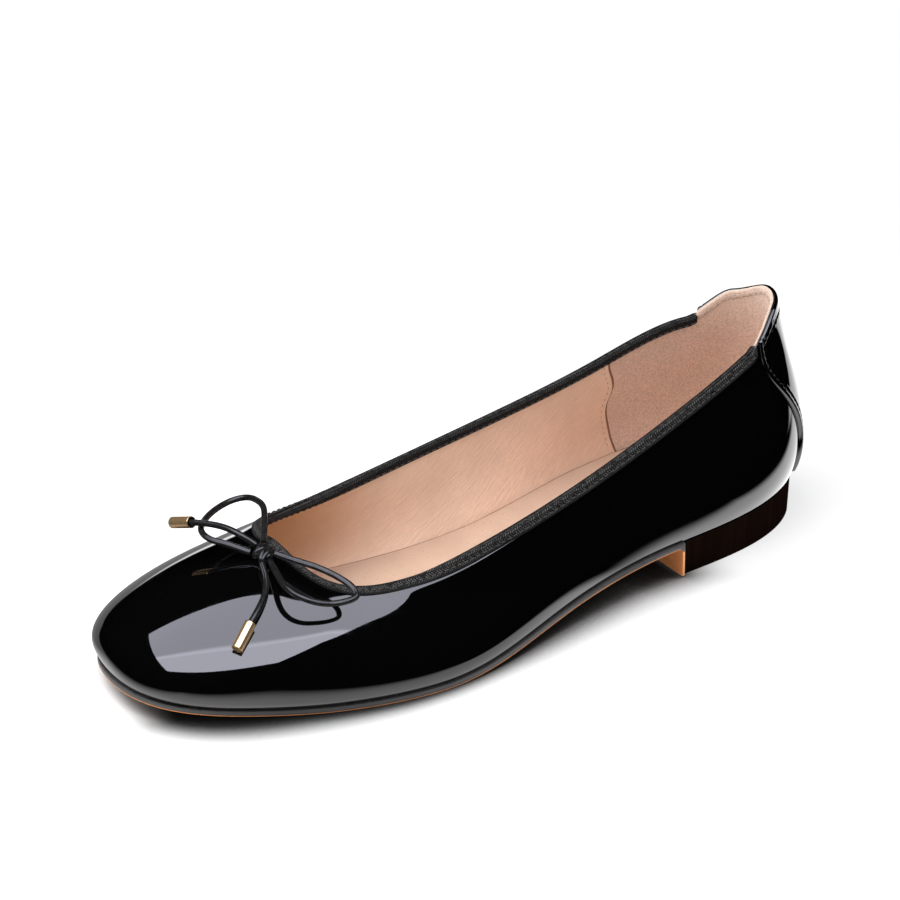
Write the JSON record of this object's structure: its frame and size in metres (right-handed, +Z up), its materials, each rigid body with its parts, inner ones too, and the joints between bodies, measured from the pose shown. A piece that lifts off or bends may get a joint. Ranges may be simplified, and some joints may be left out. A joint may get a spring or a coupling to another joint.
{
  "type": "ballet flat shoe",
  "caption": "Low slip-on ballet flat with a patent upper, bound topline, heel tab, cord bow with metal tips, thin leather sole and low block heel.",
  "frame": {"origin": "on the floor, in the middle of the box round the shoe without its bow", "axes": "+X to the toe, +Y to the wearer's left, which is the outer side, +Z up"},
  "size_m": [0.2506, 0.0874, 0.0724],
  "materials": {
    "patent_leather": "black patent, mirror gloss",
    "ribbon": "black grosgrain",
    "sock_leather": "nude leather, matt",
    "sole_leather": "tan leather with a blacked edge",
    "heel_stack": "dark brown, faint upright grain",
    "bow_cord": "black round cord, satin",
    "pale_gold": "polished pale gold"
  },
  "bodies": {
    "root": {"upper": "patent_leather", "counter": "patent_leather", "topline_binding": "ribbon", "insole": "sock_leather", "outsole": "sole_leather", "heel_block": "heel_stack", "bow_knot": "bow_cord", "bow_loop_left": "bow_cord", "bow_loop_right": "bow_cord", "bow_end_left": "bow_cord", "bow_end_right": "bow_cord", "aglet_left": "pale_gold", "aglet_right": "pale_gold"}
  },
  "joints": []
}
